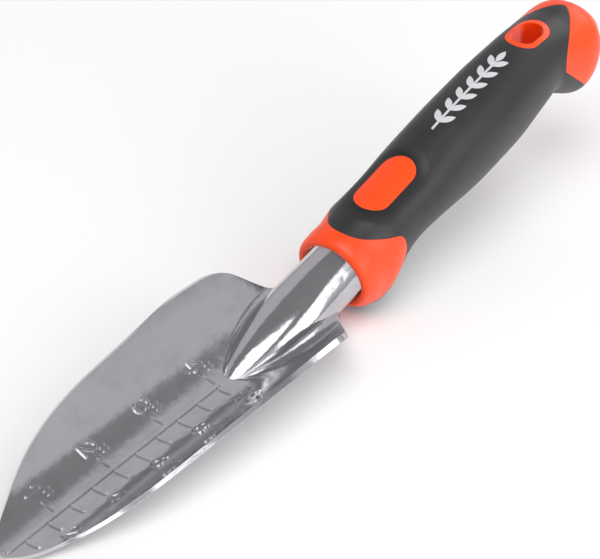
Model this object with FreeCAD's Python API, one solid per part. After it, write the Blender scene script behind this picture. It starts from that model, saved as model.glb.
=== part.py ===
import FreeCAD, Part
import math
import os

# Hand trowel: a cast trough blade with an inch and centimetre scale, its neck, shank and hidden
# tang in one casting, pressed into a two-colour moulded handle.
#
# Blade frame, millimetres: X runs from the tip towards the butt, Y to the left, Z up out of the
# trough, zero on the trough's floor at the tip. The handle has a frame of its own on the shank's
# axis: s along it from the collar's mouth, y to the left, n up.

# Blade
FLOOR_CURVE = 0.017          # trough section is z = FLOOR_CURVE * y^2 + SIDE_CURVE * y^4
SIDE_CURVE = 1.49e-5
TROUGH_REACH = 28.0          # half width of the untrimmed trough
TROUGH_FROM = -6.0           # the untrimmed trough's ends along the blade
TROUGH_TO = 159.0
WALL_AT_TIP = 1.0            # the casting thickens evenly from its tip to its neck
WALL_AT_BACK = 2.3
TIP_X = 0.8
OUTLINE = [(1.4, 1.9), (3.4, 4.5), (7.6, 7.7), (14.0, 10.9), (20.0, 13.6), (26.0, 16.1),
           (32.0, 18.1), (44.0, 20.8), (56.0, 22.3), (72.0, 23.3), (92.0, 24.1), (110.0, 24.8),
           (120.0, 24.6), (129.0, 24.0), (134.5, 22.5), (139.0, 19.9), (143.5, 16.2),
           (148.0, 12.2), (153.5, 8.0)]     # rim of the trough in plan, (x, half width)
TRIM_LOW_Z = -8.0
TRIM_TOP_Z = 16.8

# Scale on the trough's floor
INCH = 25.4
CENTIMETRE = 10.0
RAISED = 0.5                 # height of ribs and numerals above the floor
ROOT = 0.6                   # how far they reach down into the wall
RIB_HALF = 0.8               # half width of the centre rib
RIB_FROM = 3.4
TICK_HALF = 0.8
INCH_TICK = (0.2, 6.0)       # from and to, across the blade
CM_TICK = (1.8, 5.4)
NUMERAL_HIGH = 5.6
NUMERAL_WIDE = 3.4
NUMERAL_PITCH = 4.6
STROKE = 0.85
PRISM_FROM = -10.0           # the strokes are cut from prisms through the whole trough
PRISM_HIGH = 30.0
INCH_NUMERAL_Y = 9.9
INCH_MARK_Y = 7.2
INCH_MARK_AHEAD = 4.0        # towards the handle from the inch tick
INCH_MARK_HALF = (0.8, 0.75)
CM_NUMERAL_Y = -9.6

# Shank and tang, on the handle's axis
MOUTH = (159.6, 0.0, 8.5)    # centre of the collar's mouth in the blade frame
PITCH = 10.75                # degrees the handle rises towards its butt
SHANK_R = 9.9
SHANK_START = -3.0
SHANK_END = 20.0
TANG_R = 6.0
TANG_END = 94.0
GROOVE_DEEP = 0.8
GROOVE_WIDE = 3.0
GROOVES_AT = [34.0, 48.0, 62.0, 76.0]
NECK = [(-56.0, 0.9, 0.9, 0.1), (-54.0, 2.4, 2.0, -0.2), (-51.5, 4.0, 3.0, -0.9),
        (-48.0, 5.4, 4.0, -1.8), (-40.0, 7.7, 5.9, -3.4), (-30.0, 9.5, 7.7, -5.4),
        (-18.0, 10.4, 9.2, -8.2), (-9.0, 10.3, 9.9, -9.8), (-3.0, 10.2, 10.2, -10.2),
        (3.0, 10.2, 10.2, -10.2)]   # (s, half width, top n, bottom n)
BLEND = [(-52.0, 1.2), (-48.0, 2.3), (-42.0, 2.9), (-35.0, 3.3), (-28.0, 3.6), (-20.0, 3.8),
         (-13.0, 3.8), (-7.0, 3.8)]  # (s, radius) where the neck runs out into the trough
BLEND_SUNK = 0.25            # the blend's edges stand this far inside the metal
BLEND_HEEL = (0.8, 0.35)     # its hidden corners: share of the foot's y, and depth
BLEND_ROOT = (0.55, 0.8)
BLEND_STEPS = 400            # fineness of the search for the tangent circle
BLEND_FINE = 0.01

# Handle envelope: (s, half width, top n, bottom n, squareness of the section)
HANDLE = [(0.0, 12.7, 12.5, -11.8, 2.0), (0.5, 13.4, 13.3, -12.6, 2.0),
          (1.6, 13.9, 14.0, -13.6, 2.0), (4.0, 14.2, 14.5, -15.9, 2.05),
          (9.0, 14.1, 15.1, -18.9, 2.1), (13.0, 14.3, 15.8, -19.3, 2.15),
          (17.0, 14.4, 16.3, -16.7, 2.2), (22.0, 13.7, 16.5, -13.0, 2.2),
          (28.0, 13.2, 16.7, -10.0, 2.2), (36.0, 13.3, 17.1, -8.8, 2.2),
          (46.0, 13.8, 18.1, -9.3, 2.2), (58.0, 13.9, 19.7, -11.6, 2.2),
          (70.0, 14.0, 20.5, -12.6, 2.2), (82.0, 13.9, 20.8, -12.5, 2.2),
          (94.0, 13.5, 20.9, -11.8, 2.2), (104.0, 13.0, 20.8, -10.2, 2.1),
          (110.0, 12.6, 20.4, -8.9, 2.1), (114.0, 12.4, 19.8, -8.2, 2.1),
          (117.0, 12.8, 19.1, -9.7, 2.1), (120.0, 13.5, 18.3, -12.5, 2.1),
          (125.0, 14.6, 16.9, -16.4, 2.1), (130.0, 15.1, 15.9, -17.4, 2.1),
          (135.0, 14.1, 14.9, -13.8, 2.1), (139.0, 11.6, 12.8, -9.2, 2.1),
          (142.0, 8.9, 9.6, -5.0, 2.1), (144.0, 5.0, 6.0, -0.8, 2.0),
          (144.8, 1.3, 3.2, 0.8, 2.0)]
SECTION_POINTS = 28
GRIP_THICK = 1.8             # soft grip over the hard core
MOUTH_BORE = [(-3.0, 12.0), (0.0, 11.5), (1.0, 10.95), (6.0, 10.4)]   # (s, radius)
CLEARANCE = 0.1              # between the casting and the core's bores
PAD = (17.0, 42.6, 6.2)      # thumb pad: from s, to s, half width
HANG_HOLE = (104.9, 118.1, 4.4)
HANG_RIM = (103.0, 120.4, 6.0)

# Where orange core gives way to soft grip, seen from the side, (s, n)
COLLAR_EDGE = [(3.0, 17.5), (5.6, 14.6), (9.5, 12.5), (16.7, 9.6), (20.6, 7.4), (22.0, 3.6),
               (21.4, -1.6), (18.0, -6.6), (12.0, -10.6), (7.0, -13.6), (3.5, -16.5), (1.5, -21.0)]
CAP_TONGUE = (134.5, 20.0, 13.5)   # grip's tongue over the butt: end s, length, half width
CAP_SLANT = [(112.4, 9.6), (137.0, -21.5)]   # under this line the heel is grip, (s, n)

# The trowel lies on its belly and on the guard under the collar
REST_TILT = 2.54             # degrees, tip down


def trough_at(y):
    """Height of the trough's surface at y, and its slope there."""
    return FLOOR_CURVE * y ** 2 + SIDE_CURVE * y ** 4, 2 * FLOOR_CURVE * y + 4 * SIDE_CURVE * y ** 3


def trough_line(x, offset):
    """Section of the trough at x, moved along its own normal."""
    points = []
    steps = 16
    for i in range(-steps, steps + 1):
        y = TROUGH_REACH * i / steps
        z, slope = trough_at(y)
        length = math.hypot(1.0, slope)
        points.append(FreeCAD.Vector(x, y - offset * slope / length, z + offset / length))
    curve = Part.BSplineCurve()
    curve.interpolate(points)
    return curve.toShape()


def trough_section(x, low, high):
    """Closed section of the wall between two offsets of the trough's surface."""
    bottom = trough_line(x, low)
    top = trough_line(x, high)
    ends = [Part.makeLine(bottom.Vertexes[i].Point, top.Vertexes[i].Point) for i in (0, 1)]
    return Part.Wire([bottom, ends[1], top, ends[0]])


def trough_slab(low_tip, low_back, high):
    """Everything between two offsets of the trough's surface, along the whole blade."""
    return Part.makeLoft([trough_section(TROUGH_FROM, low_tip, high),
                          trough_section(TROUGH_TO, low_back, high)], True, True)


def rim_curve(level, stations):
    """The rim carried along the trough's normals to one height, as an open curve and its ends."""
    half = []
    for x, y in OUTLINE:
        z, slope = trough_at(y)
        half.append(FreeCAD.Vector(x, y - (level - z) * slope, level))
    points = [FreeCAD.Vector(p.x, -p.y, p.z) for p in reversed(half)]
    points.append(FreeCAD.Vector(TIP_X, 0, level))
    points += half
    curve = Part.BSplineCurve()
    curve.interpolate(Points=points, Parameters=stations)
    return curve.toShape(), Part.makeLine(points[-1], points[0])


def blade_trim():
    """Solid whose side stands square to the trough's wall all along the rim."""
    rim = [(x, -y) for x, y in reversed(OUTLINE)] + [(TIP_X, 0.0)] + OUTLINE
    stations = [0.0]
    for (x0, y0), (x1, y1) in zip(rim, rim[1:]):
        stations.append(stations[-1] + math.hypot(x1 - x0, y1 - y0))
    low_side, low_back = rim_curve(TRIM_LOW_Z, stations)
    top_side, top_back = rim_curve(TRIM_TOP_Z, stations)
    faces = [Part.makeRuledSurface(low_side, top_side), Part.makeRuledSurface(low_back, top_back),
             Part.Face(Part.Wire([low_side, low_back])), Part.Face(Part.Wire([top_side, top_back]))]
    trim = Part.Solid(Part.Shell(faces))
    if trim.Volume < 0:
        trim.reverse()
    return trim


def cap(x, y, heading, half):
    """Corner points of a rounded end, from its right side round to its left."""
    turns = [math.radians(heading + a) for a in (-90, -45, 0, 45, 90)]
    return [(x + half * math.cos(a), y + half * math.sin(a)) for a in turns]


def prism(outline):
    """Upright prism through the trough from a plan outline."""
    points = [FreeCAD.Vector(x, y, PRISM_FROM) for x, y in outline]
    face = Part.Face(Part.makePolygon(points + [points[0]]))
    return face.extrude(FreeCAD.Vector(0, 0, PRISM_HIGH))


def ribbon(path, width):
    """Upright strip of even width along a plan path, with rounded ends."""
    half = width / 2
    headings = [math.degrees(math.atan2(y1 - y0, x1 - x0)) for (x0, y0), (x1, y1) in zip(path, path[1:])]
    left = []
    right = []
    for (x, y), before, after in zip(path[1:-1], headings, headings[1:]):
        turn = math.radians((after - before + 180) % 360 - 180) / 2
        across = math.radians(before + 90) + turn
        reach = half / math.cos(turn)
        left.append((x + reach * math.cos(across), y + reach * math.sin(across)))
        right.append((x - reach * math.cos(across), y - reach * math.sin(across)))
    end = cap(*path[-1], headings[-1], half)
    start = cap(*path[0], headings[0] + 180, half)
    return prism(right + end + left[::-1] + start)


def ring(path, width):
    """Upright strip of even width along a closed oval path."""
    middle_x = (min(p[0] for p in path) + max(p[0] for p in path)) / 2
    middle_y = (min(p[1] for p in path) + max(p[1] for p in path)) / 2
    long_x = max(p[0] for p in path) - middle_x
    long_y = max(p[1] for p in path) - middle_y
    outlines = []
    for side in (width / 2, -width / 2):
        outlines.append([(middle_x + (x - middle_x) * (1 + side / long_x),
                          middle_y + (y - middle_y) * (1 + side / long_y)) for x, y in path])
    return prism(outlines[0]).cut(prism(outlines[1]))


# Numerals as strokes on a unit cell: u to the right, v up, both from 0 to 1.
def arc(cu, cv, ru, rv, start, end, steps=8):
    """Stroke along part of an ellipse, angles in degrees."""
    points = []
    for i in range(steps + 1):
        a = math.radians(start + (end - start) * i / steps)
        points.append((cu + ru * math.cos(a), cv + rv * math.sin(a)))
    return points


def oval(cu, cv, ru, rv):
    """Closed stroke round an ellipse."""
    return arc(cu, cv, ru, rv, 0, 337.5, 15)


STROKES = {
    "1": [[(0.15, 0.72), (0.52, 0.98)], [(0.5, 0.0), (0.5, 1.0)]],
    "2": [arc(0.5, 0.7, 0.42, 0.3, 170, -40) + [(0.08, 0.03)], [(0.0, 0.0), (1.0, 0.0)]],
    "3": [arc(0.45, 0.75, 0.42, 0.25, 160, -55), arc(0.45, 0.27, 0.48, 0.27, 70, -160)],
    "4": [[(0.72, 0.0), (0.72, 1.0)], [(0.68, 0.98), (0.03, 0.32)], [(-0.05, 0.28), (1.0, 0.28)]],
    "6": [[(0.75, 1.0), (0.45, 0.86), (0.2, 0.5)]],
}
OVALS = {
    "0": [oval(0.5, 0.5, 0.42, 0.5)],
    "6": [oval(0.5, 0.3, 0.44, 0.3)],
    "8": [oval(0.5, 0.27, 0.45, 0.29), oval(0.5, 0.75, 0.37, 0.25)],
}


def numeral(text, x, y):
    """Strokes of a number with its first digit on a plan point, its top towards the handle."""
    left = y + NUMERAL_WIDE / 2
    bars = []
    for place, sign in enumerate(text):
        for strokes, make in ((STROKES, ribbon), (OVALS, ring)):
            for stroke in strokes.get(sign, []):
                plan = [(x + NUMERAL_HIGH * (v - 0.5), left - place * NUMERAL_PITCH - NUMERAL_WIDE * u)
                        for u, v in stroke]
                bars.append(make(plan, STROKE))
    return bars


def inch_mark(x, y):
    """The two short strokes beside an inch numeral."""
    half_long, half_apart = INCH_MARK_HALF
    return [ribbon([(x - half_long, y + side), (x + half_long, y + side)], STROKE)
            for side in (-half_apart, half_apart)]


def raised_scale():
    """Centre rib, ticks and numerals standing off the trough's floor."""
    bars = [ribbon([(RIB_FROM, 0), (4 * INCH, 0)], 2 * RIB_HALF)]
    for inch in range(1, 5):
        x = inch * INCH
        bars.append(ribbon([(x, INCH_TICK[0]), (x, INCH_TICK[1])], 2 * TICK_HALF))
        bars += numeral(str(inch), x, INCH_NUMERAL_Y)
        bars += inch_mark(x + INCH_MARK_AHEAD, INCH_MARK_Y)
    for cm in range(1, 11):
        x = cm * CENTIMETRE
        bars.append(ribbon([(x, -CM_TICK[0]), (x, -CM_TICK[1])], 2 * TICK_HALF))
        if cm % 2 == 0:
            bars += numeral(str(cm), x, CM_NUMERAL_Y)
    slab = trough_slab(-ROOT, -ROOT, RAISED)
    return [bar.common(slab) for bar in bars]


def ellipse_wire(s, half_width, top, bottom, square=2.0):
    """Closed section at s, a superellipse between top and bottom, in the handle's frame."""
    middle = (top + bottom) / 2
    half_high = (top - bottom) / 2
    points = []
    for i in range(SECTION_POINTS):
        a = 2 * math.pi * i / SECTION_POINTS - math.pi / 2
        c = math.cos(a)
        q = math.sin(a)
        y = half_width * math.copysign(abs(c) ** (2 / square), c)
        n = middle + half_high * math.copysign(abs(q) ** (2 / square), q)
        points.append(FreeCAD.Vector(s, y, n))
    curve = Part.BSplineCurve()
    curve.interpolate(points, True)
    return Part.Wire([curve.toShape()])


def turned(profile):
    """Solid of revolution about the handle's axis from (s, radius) points."""
    points = [FreeCAD.Vector(s, 0, r) for s, r in profile]
    points.append(points[0])
    face = Part.Face(Part.makePolygon(points))
    return face.revolve(FreeCAD.Vector(0, 0, 0), FreeCAD.Vector(1, 0, 0), 360)


def shank_and_tang():
    profile = [(SHANK_START, 0), (SHANK_START, SHANK_R), (SHANK_END, SHANK_R), (SHANK_END, TANG_R)]
    for s in GROOVES_AT:
        profile += [(s, TANG_R), (s, TANG_R - GROOVE_DEEP),
                    (s + GROOVE_WIDE, TANG_R - GROOVE_DEEP), (s + GROOVE_WIDE, TANG_R)]
    profile += [(TANG_END - 1.5, TANG_R), (TANG_END, TANG_R - 1.5), (TANG_END, 0)]
    return turned(profile)


def neck():
    return Part.makeLoft([ellipse_wire(*row) for row in NECK], True, False)


def to_blade_frame(shape):
    """Move a shape from the handle's frame to the blade's."""
    placed = shape.copy()
    placed.rotate(FreeCAD.Vector(0, 0, 0), FreeCAD.Vector(0, 1, 0), -PITCH)
    placed.translate(FreeCAD.Vector(*MOUTH))
    return placed


def between(rows, s):
    """Row of a table at s, by straight interpolation."""
    for low, high in zip(rows, rows[1:]):
        if low[0] <= s <= high[0]:
            share = (s - low[0]) / (high[0] - low[0])
            return [a + (b - a) * share for a, b in zip(low, high)]
    raise ValueError("outside the table")


def trough_in_section(s, y):
    """Sunk trough surface in the handle's cross section at s: its n, and its slope there."""
    z, slope = trough_at(y)
    pitch = math.radians(PITCH)
    n = (z - MOUTH[2] - s * math.sin(pitch)) / math.cos(pitch) - BLEND_SUNK
    return n, slope / math.cos(pitch)


def blend_section(s, radius, side):
    """Closed section of the fillet between the neck and the trough."""
    row = between(NECK, s)
    half_width = row[1] - BLEND_SUNK
    middle = (row[2] + row[3]) / 2
    half_high = (row[2] - row[3]) / 2 - BLEND_SUNK
    rim = []
    for i in range(BLEND_STEPS + 1):
        a = math.pi * (i / BLEND_STEPS - 0.5)
        rim.append((half_width * math.cos(a), middle + half_high * math.sin(a)))
    foot = 0.0
    while True:
        n, slope = trough_in_section(s, foot)
        length = math.hypot(1, slope)
        centre = (foot - radius * slope / length, n + radius / length)
        near = min(rim, key=lambda p: math.hypot(p[0] - centre[0], p[1] - centre[1]))
        inside = centre[0] / half_width < 1 and abs(centre[1] - middle) < half_high * math.sqrt(
            1 - (centre[0] / half_width) ** 2)
        reach = math.hypot(near[0] - centre[0], near[1] - centre[1])
        if centre[0] > 0 and not inside and reach >= radius:
            break
        foot += BLEND_FINE
    heel = (foot * BLEND_HEEL[0], n - slope * foot * (1 - BLEND_HEEL[0]) - BLEND_HEEL[1])
    root_y = BLEND_ROOT[0] * foot
    root = (root_y, trough_in_section(s, root_y)[0] - BLEND_ROOT[1])
    towards = (near[0] + foot - 2 * centre[0], near[1] + n - 2 * centre[1])
    size = math.hypot(*towards)
    waist = (centre[0] + radius * towards[0] / size, centre[1] + radius * towards[1] / size)
    corners = [FreeCAD.Vector(s, side * y, high) for y, high in (near, waist, (foot, n), heel, root)]
    curve = Part.Arc(*corners[:3]).toShape()
    return Part.Wire([curve] + Part.makePolygon(corners[2:] + corners[:1]).Edges)


def blend(side):
    """Fillet running the neck out into the trough on one side."""
    return Part.makeLoft([blend_section(s, radius, side) for s, radius in BLEND], True, False)


def blade():
    trim = blade_trim()
    shell = trough_slab(-WALL_AT_TIP, -WALL_AT_BACK, 0).common(trim)
    stem = to_blade_frame(neck().fuse(shank_and_tang()))
    blends = [to_blade_frame(blend(side)).common(trim) for side in (-1, 1)]
    return shell.fuse(stem).multiFuse(blends).multiFuse(raised_scale())


def envelope(inset):
    rows = []
    for s, half_width, top, bottom, square in HANDLE:
        rows.append(ellipse_wire(s, half_width - inset, top - inset, bottom + inset, square))
    return rows


def handle_body():
    return Part.makeLoft(envelope(0), True, False)


def inner_body():
    """The core under the grip: the same sections, less the grip's thickness."""
    rows = [wire for wire, row in zip(envelope(GRIP_THICK), HANDLE) if row[1] > 9]
    return Part.makeLoft(rows, True, False)


def stadium(start, end, half_width):
    """Upright round-ended prism along s."""
    box = Part.makeBox(end - start - 2 * half_width, 2 * half_width, 80,
                       FreeCAD.Vector(start + half_width, -half_width, -40))
    ends = [Part.makeCylinder(half_width, 80, FreeCAD.Vector(s, 0, -40))
            for s in (start + half_width, end - half_width)]
    return box.multiFuse(ends).removeSplitter()


def above(shape):
    """The part of a shape that stands over the handle's axis."""
    return shape.common(Part.makeBox(200, 80, 60, FreeCAD.Vector(-20, -40, 5)))


def side_prism(outline, closing):
    """Side-view area between a smooth line and closing corners, extruded across the handle."""
    points = [FreeCAD.Vector(s, -40, n) for s, n in outline]
    curve = Part.BSplineCurve()
    curve.interpolate(points)
    corners = [points[-1]] + [FreeCAD.Vector(s, -40, n) for s, n in closing] + [points[0]]
    wire = Part.Wire([curve.toShape()] + Part.makePolygon(corners).Edges)
    return Part.Face(wire).extrude(FreeCAD.Vector(0, 80, 0))


def cap_zone():
    """Butt area left orange: behind the grip's tongue and over the slanting line."""
    end, length, half = CAP_TONGUE
    plan = []
    for i in range(-8, 9):
        y = half * 1.12 * i / 8
        plan.append(FreeCAD.Vector(end - length * (abs(y) / half) ** 1.5, y, -40))
    curve = Part.BSplineCurve()
    curve.interpolate(plan)
    reach = 160
    back = [plan[-1], FreeCAD.Vector(plan[-1].x, 40, -40), FreeCAD.Vector(reach, 40, -40),
            FreeCAD.Vector(reach, -40, -40), FreeCAD.Vector(plan[0].x, -40, -40), plan[0]]
    wire = Part.Wire([curve.toShape()] + Part.makePolygon(back).Edges)
    behind = Part.Face(wire).extrude(FreeCAD.Vector(0, 0, 80))
    (s0, n0), (s1, n1) = CAP_SLANT
    corners = [(s0, n0), (s1, n1), (reach, n1), (reach, 40), (s0, 40)]
    points = [FreeCAD.Vector(s, -40, n) for s, n in corners]
    over = Part.Face(Part.makePolygon(points + [points[0]])).extrude(FreeCAD.Vector(0, 80, 0))
    return behind.common(over)


def grip_tool():
    """Everything outside the core that the soft grip may fill."""
    behind_collar = side_prism(COLLAR_EDGE, [(160, -21.0), (160, 40), (3.0, 40)])
    tool = behind_collar.cut(inner_body())
    return tool.cut([cap_zone(), above(stadium(*PAD)), stadium(*HANG_RIM)])


def bores():
    gap = CLEARANCE
    return turned([(MOUTH_BORE[0][0], 0)] + MOUTH_BORE
                  + [(MOUTH_BORE[-1][0], SHANK_R + gap), (SHANK_END + gap, SHANK_R + gap),
                     (SHANK_END + gap, TANG_R + gap), (TANG_END + gap, TANG_R + gap),
                     (TANG_END + gap, 0)])


def handle():
    body = handle_body()
    tool = grip_tool()
    hole = stadium(*HANG_HOLE)
    core = body.cut([tool, bores(), hole])
    grip = body.common(tool).cut(hole)
    return to_blade_frame(core), to_blade_frame(grip)


def settle(shapes):
    """Turn the trowel into its resting pose and put the box's bottom centre at the origin."""
    low = [1e9] * 3
    high = [-1e9] * 3
    for shape in shapes.values():
        shape.rotate(FreeCAD.Vector(0, 0, 0), FreeCAD.Vector(0, 1, 0), -REST_TILT)
        for point in shape.tessellate(0.05)[0]:
            for axis in range(3):
                low[axis] = min(low[axis], point[axis])
                high[axis] = max(high[axis], point[axis])
    shift = FreeCAD.Vector(-(low[0] + high[0]) / 2, -(low[1] + high[1]) / 2, -low[2])
    for shape in shapes.values():
        shape.translate(shift)
    for name, shape in shapes.items():
        print(name, "lowest", min(point.z for point in shape.tessellate(0.05)[0]))
    print("moved by", shift, "box", [high[i] - low[i] for i in range(3)])


def main():
    os.makedirs("parts", exist_ok=True)
    core, grip = handle()
    shapes = {"blade": blade(), "handle_core": core, "soft_grip": grip}
    settle(shapes)
    for name, shape in shapes.items():
        print(name, "solids", len(shape.Solids), "valid", shape.isValid(), "volume", shape.Volume)
        shape.exportStep("parts/" + name + ".step")


if __name__ == "__main__":
    main()
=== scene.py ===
"""Hand trowel on a pale studio floor: finishes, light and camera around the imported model.

Lengths are metres, angles are degrees and colours are linear. A noise pattern is written as
(stretch per axis, scale, detail, roughness) and a bump as (distance, strength).
"""
import math

import bpy
from mathutils import Matrix, Vector

# Camera in the model's frame
CAMERA_AT = (-0.64787, -0.41021, 0.56686)
CAMERA_RIGHT = (0.59074, -0.80197, 0.08864)
CAMERA_UP = (0.42736, 0.40418, 0.80870)
CAMERA_FORWARD = (0.68438, 0.43986, -0.58150)
SENSOR = 36.0
LENS = 179.33
CLIP_START = 0.01

# Handle's frame: the collar's mouth and the shank axis's rise towards the butt
MOUTH = (0.00876, 0.0, 0.01658)
HANDLE_RISE = 13.29

# Cast aluminium
ALUMINIUM = (0.56, 0.555, 0.575)
ALUMINIUM_DULL = (0.40, 0.395, 0.415)
METALLIC = 0.9
STREAKS = ((0.3, 1.5, 1.5), 700.0, 4.0, 0.65)
CLOUDS = ((1.0, 1.3, 1.3), 90.0, 5.0, 0.6)
DULL_FROM = 0.45             # cloud value where the dull tone starts
DULL_FULL = 0.75             # and where it is strongest
DULL_MOST = 0.45
PIT_SCALE = 160.0
PIT_RADIUS = 0.07            # in cells of the pit pattern
METAL_ROUGH = 0.07
METAL_ROUGH_MORE = 0.08      # added by the streaks
CLOUD_BUMP = (0.0003, 0.25)
STREAK_BUMP = (0.00004, 0.5)
PIT_BUMP = (0.0002, 0.15)
SCALE_ROUNDED = 0.00020      # how far shading rounds the raised scale's edges
NECK_ROUNDED = 0.0009        # and the edges of the neck's foot
NECK_BEGINS = -0.046         # the neck's foot: from this X,
NECK_FADE = 0.010
NECK_HALF = 0.013            # within this distance of the middle
NECK_HALF_FADE = 0.003

# Orange plastic
ORANGE = (1.0, 0.072, 0.004)
ORANGE_DEEP = (0.94, 0.060, 0.003)
FLOW = ((1.0, 2.5, 2.5), 45.0, 3.0, 0.5)
FLOW_FROM = 0.35
FLOW_FULL = 0.8
ORANGE_ROUGH = 0.30
ORANGE_ROUGH_MORE = 0.15     # added by the flow marks
ORANGE_SPECULAR = 0.45
ORANGE_SCATTER = 0.1
ORANGE_SCATTER_RADIUS = (0.002, 0.0006, 0.0003)
PEEL = ((1.0, 1.0, 1.0), 1600.0, 2.0, 0.5)
PEEL_BUMP = (0.00003, 0.35)
MOULD_ROUNDED = 0.00040      # how far shading rounds the moulded edges

# Soft grip
GRIP = (0.017, 0.017, 0.018)
GRIP_WORN = (0.024, 0.024, 0.025)
WEAR = ((1.0, 1.0, 1.0), 55.0, 4.0, 0.55)
WEAR_FROM = 0.35
WEAR_FULL = 0.75
GRIP_ROUGH = 0.36
GRIP_ROUGH_MORE = 0.12       # added by the wear
GRAIN = ((1.0, 1.0, 1.0), 2600.0, 2.0, 0.5)
GRAIN_BUMP = (0.00004, 0.45)

# Hollow round the thumb pad, in the handle's frame; painted shade darkens the grip's colour inside it
PAD_MIDDLE = 0.0298
PAD_STRAIGHT = 0.0066        # half length of the pad's straight part
PAD_HALF = 0.0066            # half width of the pad
# Painted shade: the grip's darker colour inside the hollow round the pad
REST_PAINTED_SHADE = (0.005, 0.005, 0.005)
REST_WIDE = 0.0045
REST_BUMP = (0.0006, 1.0)
REST_ABOVE = 0.006           # only this high above the handle's axis

# Sprig printed on the grip, in the handle's frame
INK = (0.60, 0.60, 0.62)
SPRIG_FROM = 0.056
SPRIG_TO = 0.099
SPRIG_EDGE = 0.0004
SPRIG_ABOVE = 0.010          # only this high above the handle's axis
STEM_HALF = 0.00035
STEM_EDGE = 1.5              # where the stem has faded out, in half widths
LEAF_LONG = 0.0062
LEAF_WIDE = 0.00125
LEAF_PAIRS = 6
LEAF_ANGLE = 36.0
LEAF_FIRST = 0.6             # first pair's place, in steps from the stem's start
LEAF_EDGE = 0.12             # soft edge, in leaf widths

# Floor
FLOOR = (0.90, 0.90, 0.90)
FLOOR_ROUGH = 0.8
FLOOR_SIZE = 6.0
FLOOR_Z = -0.0003            # just under the trowel

# Studio: radiance of the walls and ceiling, and the heights (sine of elevation) where they change
LOW_WALL = (0.44, 0.44, 0.45)
BRIGHT_WALL = (0.60, 0.59, 0.61)
CEILING = (0.21, 0.21, 0.215)
WALL_LOW = 0.05
WALL_BRIGHT = 0.30
CEILING_FROM = 0.765
CEILING_FULL = 0.80

# Softboxes: name, azimuth from +X towards +Y, elevation, distance, size, watts
LIGHTS_CENTRE = (-0.05, 0.0, 0.01)
LIGHTS_AIM = (0.0, 0.0, 0.03)
SOFTBOXES = (
    ("key", -155.0, 66.0, 1.8, (1.4, 1.4), 22.0),
    ("right", -86.0, 20.0, 1.3, (1.2, 0.6), 5.0),
    ("neck", -72.0, 42.0, 1.4, (0.6, 0.5), 1.5),
    ("back", -4.0, 33.0, 1.4, (0.9, 0.5), 3.0),
)

BEVEL_SAMPLES = 6


def new_material(name):
    material = bpy.data.materials.new(name)
    material.use_nodes = True
    return material, material.node_tree, material.node_tree.nodes["Principled BSDF"]


def link(tree, source, target):
    tree.links.new(source, target)


def maths(tree, operation, a, b=0.0, c=0.0):
    """One maths node; each input is a number or a socket."""
    node = tree.nodes.new("ShaderNodeMath")
    node.operation = operation
    for socket, value in zip(node.inputs, (a, b, c)):
        if isinstance(value, (int, float)):
            socket.default_value = value
        else:
            link(tree, value, socket)
    return node.outputs[0]


def ramp(tree, value, low, high, out_low=0.0, out_high=1.0):
    """Value mapped smoothly from low..high to out_low..out_high, clamped."""
    node = tree.nodes.new("ShaderNodeMapRange")
    node.interpolation_type = "SMOOTHSTEP"
    link(tree, value, node.inputs["Value"])
    for name, number in (("From Min", low), ("From Max", high), ("To Min", out_low), ("To Max", out_high)):
        node.inputs[name].default_value = number
    return node.outputs["Result"]


def mixed(tree, factor, a, b):
    """Colour mix; a and b are colours or sockets."""
    node = tree.nodes.new("ShaderNodeMix")
    node.data_type = "RGBA"
    link(tree, factor, node.inputs["Factor"])
    colours = [socket for socket in node.inputs if socket.type == "RGBA"]
    for socket, value in zip(colours, (a, b)):
        if isinstance(value, tuple):
            socket.default_value = (*value, 1)
        else:
            link(tree, value, socket)
    return next(socket for socket in node.outputs if socket.type == "RGBA")


def place(tree):
    return tree.nodes.new("ShaderNodeTexCoord").outputs["Object"]


def split(tree, vector):
    node = tree.nodes.new("ShaderNodeSeparateXYZ")
    link(tree, vector, node.inputs[0])
    return node.outputs


def noise(tree, vector, pattern):
    """Noise from 0 to 1."""
    stretch, scale, detail, rough = pattern
    mapping = tree.nodes.new("ShaderNodeMapping")
    mapping.inputs["Scale"].default_value = stretch
    link(tree, vector, mapping.inputs["Vector"])
    node = tree.nodes.new("ShaderNodeTexNoise")
    node.inputs["Scale"].default_value = scale
    node.inputs["Detail"].default_value = detail
    node.inputs["Roughness"].default_value = rough
    link(tree, mapping.outputs[0], node.inputs["Vector"])
    return node.outputs["Fac"]


def rounded_normal(tree, radius):
    """Normal that rounds edges; radius is a number or a socket."""
    node = tree.nodes.new("ShaderNodeBevel")
    node.samples = BEVEL_SAMPLES
    if isinstance(radius, float):
        node.inputs["Radius"].default_value = radius
    else:
        link(tree, radius, node.inputs["Radius"])
    return node.outputs["Normal"]


def bump(tree, height, normal, size):
    distance, strength = size
    node = tree.nodes.new("ShaderNodeBump")
    node.inputs["Strength"].default_value = strength
    node.inputs["Distance"].default_value = distance
    link(tree, height, node.inputs["Height"])
    link(tree, normal, node.inputs["Normal"])
    return node.outputs["Normal"]


def along_handle(tree, vector):
    """Position in the handle's frame: along the shank, left, up."""
    shift = tree.nodes.new("ShaderNodeVectorMath")
    shift.operation = "SUBTRACT"
    shift.inputs[1].default_value = MOUTH
    link(tree, vector, shift.inputs[0])
    turn = tree.nodes.new("ShaderNodeVectorRotate")
    turn.rotation_type = "Y_AXIS"
    turn.inputs["Angle"].default_value = math.radians(HANDLE_RISE)
    link(tree, shift.outputs[0], turn.inputs["Vector"])
    return turn.outputs[0]


def neck_mask(tree, x, y):
    """1 on the neck and its foot, 0 on the rest of the blade."""
    behind = ramp(tree, x, NECK_BEGINS, NECK_BEGINS + NECK_FADE)
    from_middle = maths(tree, "ABSOLUTE", y)
    inside = ramp(tree, from_middle, NECK_HALF, NECK_HALF + NECK_HALF_FADE, 1.0, 0.0)
    return maths(tree, "MULTIPLY", behind, inside)


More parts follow.
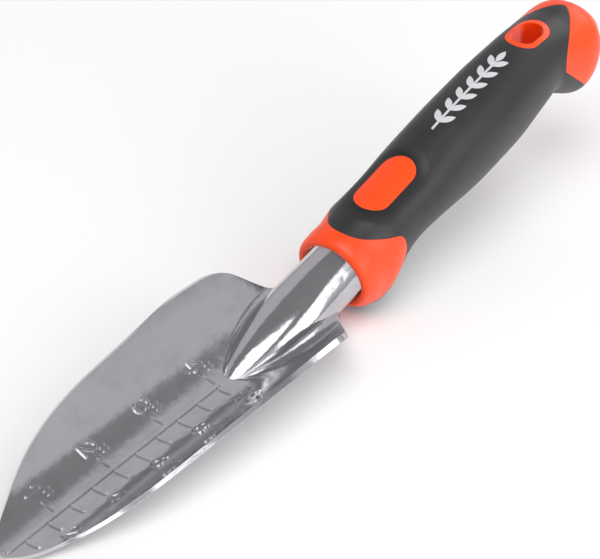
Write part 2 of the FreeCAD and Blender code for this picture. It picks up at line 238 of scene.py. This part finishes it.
def pits(tree, at):
    """0 in the middle of each small casting pit, 1 outside."""
    cells = tree.nodes.new("ShaderNodeTexVoronoi")
    cells.inputs["Scale"].default_value = PIT_SCALE
    link(tree, at, cells.inputs["Vector"])
    return ramp(tree, cells.outputs["Distance"], 0.0, PIT_RADIUS)


def blade_metal():
    """Polished aluminium casting: soft streaks along the blade, small pits, smooth foot to the neck."""
    material, tree, shader = new_material("cast_aluminium")
    at = place(tree)
    x, y, _ = split(tree, at)
    streaks = noise(tree, at, STREAKS)
    clouds = noise(tree, at, CLOUDS)
    dull = maths(tree, "MULTIPLY", ramp(tree, clouds, DULL_FROM, DULL_FULL), DULL_MOST)
    link(tree, mixed(tree, dull, ALUMINIUM, ALUMINIUM_DULL), shader.inputs["Base Color"])
    shader.inputs["Metallic"].default_value = METALLIC
    rough = maths(tree, "MULTIPLY_ADD", streaks, METAL_ROUGH_MORE, METAL_ROUGH)
    link(tree, rough, shader.inputs["Roughness"])
    radius = maths(tree, "MULTIPLY_ADD", neck_mask(tree, x, y), NECK_ROUNDED - SCALE_ROUNDED, SCALE_ROUNDED)
    normal = rounded_normal(tree, radius)
    normal = bump(tree, clouds, normal, CLOUD_BUMP)
    normal = bump(tree, streaks, normal, STREAK_BUMP)
    link(tree, bump(tree, pits(tree, at), normal, PIT_BUMP), shader.inputs["Normal"])
    return material


def orange_plastic():
    """Satin moulded polypropylene: faint flow marks in the colour, fine orange peel."""
    material, tree, shader = new_material("orange_plastic")
    at = place(tree)
    flow = noise(tree, at, FLOW)
    colour = mixed(tree, ramp(tree, flow, FLOW_FROM, FLOW_FULL), ORANGE, ORANGE_DEEP)
    link(tree, colour, shader.inputs["Base Color"])
    rough = maths(tree, "MULTIPLY_ADD", flow, ORANGE_ROUGH_MORE, ORANGE_ROUGH)
    link(tree, rough, shader.inputs["Roughness"])
    shader.inputs["Specular IOR Level"].default_value = ORANGE_SPECULAR
    shader.inputs["Subsurface Weight"].default_value = ORANGE_SCATTER
    shader.inputs["Subsurface Radius"].default_value = ORANGE_SCATTER_RADIUS
    normal = rounded_normal(tree, MOULD_ROUNDED)
    link(tree, bump(tree, noise(tree, at, PEEL), normal, PEEL_BUMP), shader.inputs["Normal"])
    return material


def leaf(tree, s, y, root_s, angle):
    """One pointed leaf growing from the stem: 1 inside, 0 outside."""
    c = math.cos(angle)
    q = math.sin(angle)
    ds = maths(tree, "SUBTRACT", s, root_s)
    u = maths(tree, "MULTIPLY_ADD", ds, c / LEAF_LONG, maths(tree, "MULTIPLY", y, q / LEAF_LONG))
    v = maths(tree, "MULTIPLY_ADD", y, c / LEAF_WIDE, maths(tree, "MULTIPLY", ds, -q / LEAF_WIDE))
    # The half width is the parabola 4 u (1 - u), which is 1 in the leaf's middle
    width = maths(tree, "MULTIPLY", maths(tree, "MULTIPLY", u, maths(tree, "SUBTRACT", 1.0, u)), 4.0)
    gap = maths(tree, "SUBTRACT", width, maths(tree, "ABSOLUTE", v))
    return ramp(tree, gap, 0.0, LEAF_EDGE)


def sprig(tree, position):
    """Mask of a leafy stem lying along the top of the grip."""
    s, y, n = split(tree, position)
    stem_end = SPRIG_TO - LEAF_LONG
    on_stem = ramp(tree, maths(tree, "ABSOLUTE", y), STEM_HALF, STEM_HALF * STEM_EDGE, 1.0, 0.0)
    begun = ramp(tree, s, SPRIG_FROM, SPRIG_FROM + SPRIG_EDGE)
    ended = ramp(tree, s, stem_end, stem_end + SPRIG_EDGE, 1.0, 0.0)
    mask = maths(tree, "MULTIPLY", on_stem, maths(tree, "MULTIPLY", begun, ended))
    step = (stem_end - SPRIG_FROM) / LEAF_PAIRS
    for pair in range(LEAF_PAIRS):
        root_s = SPRIG_FROM + step * (pair + LEAF_FIRST)
        for side in (-1, 1):
            side_leaf = leaf(tree, s, y, root_s, side * math.radians(LEAF_ANGLE))
            mask = maths(tree, "MAXIMUM", mask, side_leaf)
    mask = maths(tree, "MAXIMUM", mask, leaf(tree, s, y, stem_end, 0.0))
    return maths(tree, "MULTIPLY", mask, maths(tree, "GREATER_THAN", n, SPRIG_ABOVE))


def thumb_rest_hollow_and_shade(tree, position):
    """1 beside the thumb pad, falling smoothly to 0 where the shallow rest around it ends: the mask of the
    hollow's bump and of the painted shade in it.
    """
    s, y, n = split(tree, position)
    from_middle = maths(tree, "ABSOLUTE", maths(tree, "SUBTRACT", s, PAD_MIDDLE))
    beyond = maths(tree, "MAXIMUM", maths(tree, "SUBTRACT", from_middle, PAD_STRAIGHT), 0.0)
    away = maths(tree, "SQRT", maths(tree, "ADD", maths(tree, "MULTIPLY", beyond, beyond),
                                     maths(tree, "MULTIPLY", y, y)))
    rest = ramp(tree, away, PAD_HALF, PAD_HALF + REST_WIDE, 1.0, 0.0)
    return maths(tree, "MULTIPLY", rest, maths(tree, "GREATER_THAN", n, REST_ABOVE))


def grip_rubber():
    """Matte soft overmould with a fine eroded grain, the thumb rest's hollow with painted shade in it, and
    the printed sprig.
    """
    material, tree, shader = new_material("soft_grip_rubber")
    at = place(tree)
    worn = noise(tree, at, WEAR)
    on_handle = along_handle(tree, at)
    rest = thumb_rest_hollow_and_shade(tree, on_handle)
    body = mixed(tree, ramp(tree, worn, WEAR_FROM, WEAR_FULL), GRIP, GRIP_WORN)
    # Painted shade: the grip's colour is darkened inside the thumb rest's hollow
    body = mixed(tree, rest, body, REST_PAINTED_SHADE)
    link(tree, mixed(tree, sprig(tree, on_handle), body, INK), shader.inputs["Base Color"])
    rough = maths(tree, "MULTIPLY_ADD", worn, GRIP_ROUGH_MORE, GRIP_ROUGH)
    link(tree, rough, shader.inputs["Roughness"])
    normal = rounded_normal(tree, MOULD_ROUNDED)
    normal = bump(tree, maths(tree, "MULTIPLY", rest, -1.0), normal, REST_BUMP)
    link(tree, bump(tree, noise(tree, at, GRAIN), normal, GRAIN_BUMP), shader.inputs["Normal"])
    return material


def dress(name, material):
    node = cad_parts[name]
    node.data.materials.clear()
    node.data.materials.append(material)


def studio_floor():
    bpy.ops.mesh.primitive_plane_add(size=FLOOR_SIZE, location=(0.0, 0.0, FLOOR_Z))
    floor = bpy.context.object
    floor.name = "floor"
    material, _, shader = new_material("floor_white")
    shader.inputs["Base Color"].default_value = (*FLOOR, 1)
    shader.inputs["Roughness"].default_value = FLOOR_ROUGH
    floor.data.materials.append(material)


def heading(azimuth, elevation, distance):
    """Point in a direction from the lights' centre."""
    a = math.radians(azimuth)
    e = math.radians(elevation)
    direction = Vector((math.cos(a) * math.cos(e), math.sin(a) * math.cos(e), math.sin(e)))
    return Vector(LIGHTS_CENTRE) + distance * direction


def softbox(name, at, size, power):
    light = bpy.data.objects.new(name, bpy.data.lights.new(name, "AREA"))
    light.data.shape = "RECTANGLE"
    light.data.size, light.data.size_y = size
    light.data.energy = power
    light.location = at
    light.rotation_euler = (Vector(LIGHTS_AIM) - at).to_track_quat("-Z", "Y").to_euler()
    bpy.context.collection.objects.link(light)


def studio_world():
    """Pale walls with a darker ceiling: the polished blade shows where one gives way to the other."""
    world = bpy.data.worlds.new("studio")
    world.use_nodes = True
    tree = world.node_tree
    height = split(tree, tree.nodes.new("ShaderNodeTexCoord").outputs["Generated"])[2]
    wall = mixed(tree, ramp(tree, height, WALL_LOW, WALL_BRIGHT), LOW_WALL, BRIGHT_WALL)
    colour = mixed(tree, ramp(tree, height, CEILING_FROM, CEILING_FULL), wall, CEILING)
    link(tree, colour, tree.nodes["Background"].inputs["Color"])
    bpy.context.scene.world = world


def lights():
    for name, azimuth, elevation, distance, size, power in SOFTBOXES:
        softbox(name, heading(azimuth, elevation, distance), size, power)
    studio_world()


def camera():
    data = bpy.data.cameras.new("camera")
    data.sensor_width = SENSOR
    data.lens = LENS
    data.clip_start = CLIP_START
    view = bpy.data.objects.new("camera", data)
    axes = zip(CAMERA_RIGHT, CAMERA_UP, [-c for c in CAMERA_FORWARD])
    view.matrix_world = Matrix.Translation(CAMERA_AT) @ Matrix(list(axes)).to_4x4()
    bpy.context.collection.objects.link(view)
    bpy.context.scene.camera = view


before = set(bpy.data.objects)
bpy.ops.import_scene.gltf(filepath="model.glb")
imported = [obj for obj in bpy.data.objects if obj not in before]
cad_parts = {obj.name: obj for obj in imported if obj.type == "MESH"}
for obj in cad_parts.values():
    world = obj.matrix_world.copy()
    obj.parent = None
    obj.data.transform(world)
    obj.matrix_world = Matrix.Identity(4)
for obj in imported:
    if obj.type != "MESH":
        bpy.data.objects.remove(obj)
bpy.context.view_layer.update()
dress("blade", blade_metal())
dress("handle_core", orange_plastic())
dress("soft_grip", grip_rubber())
# The real blade's rear edge stays grey beside the orange collar, so the core isn't mirrored in it
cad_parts["handle_core"].visible_glossy = False
studio_floor()
lights()
camera()
bpy.context.scene.view_settings.view_transform = "Standard"
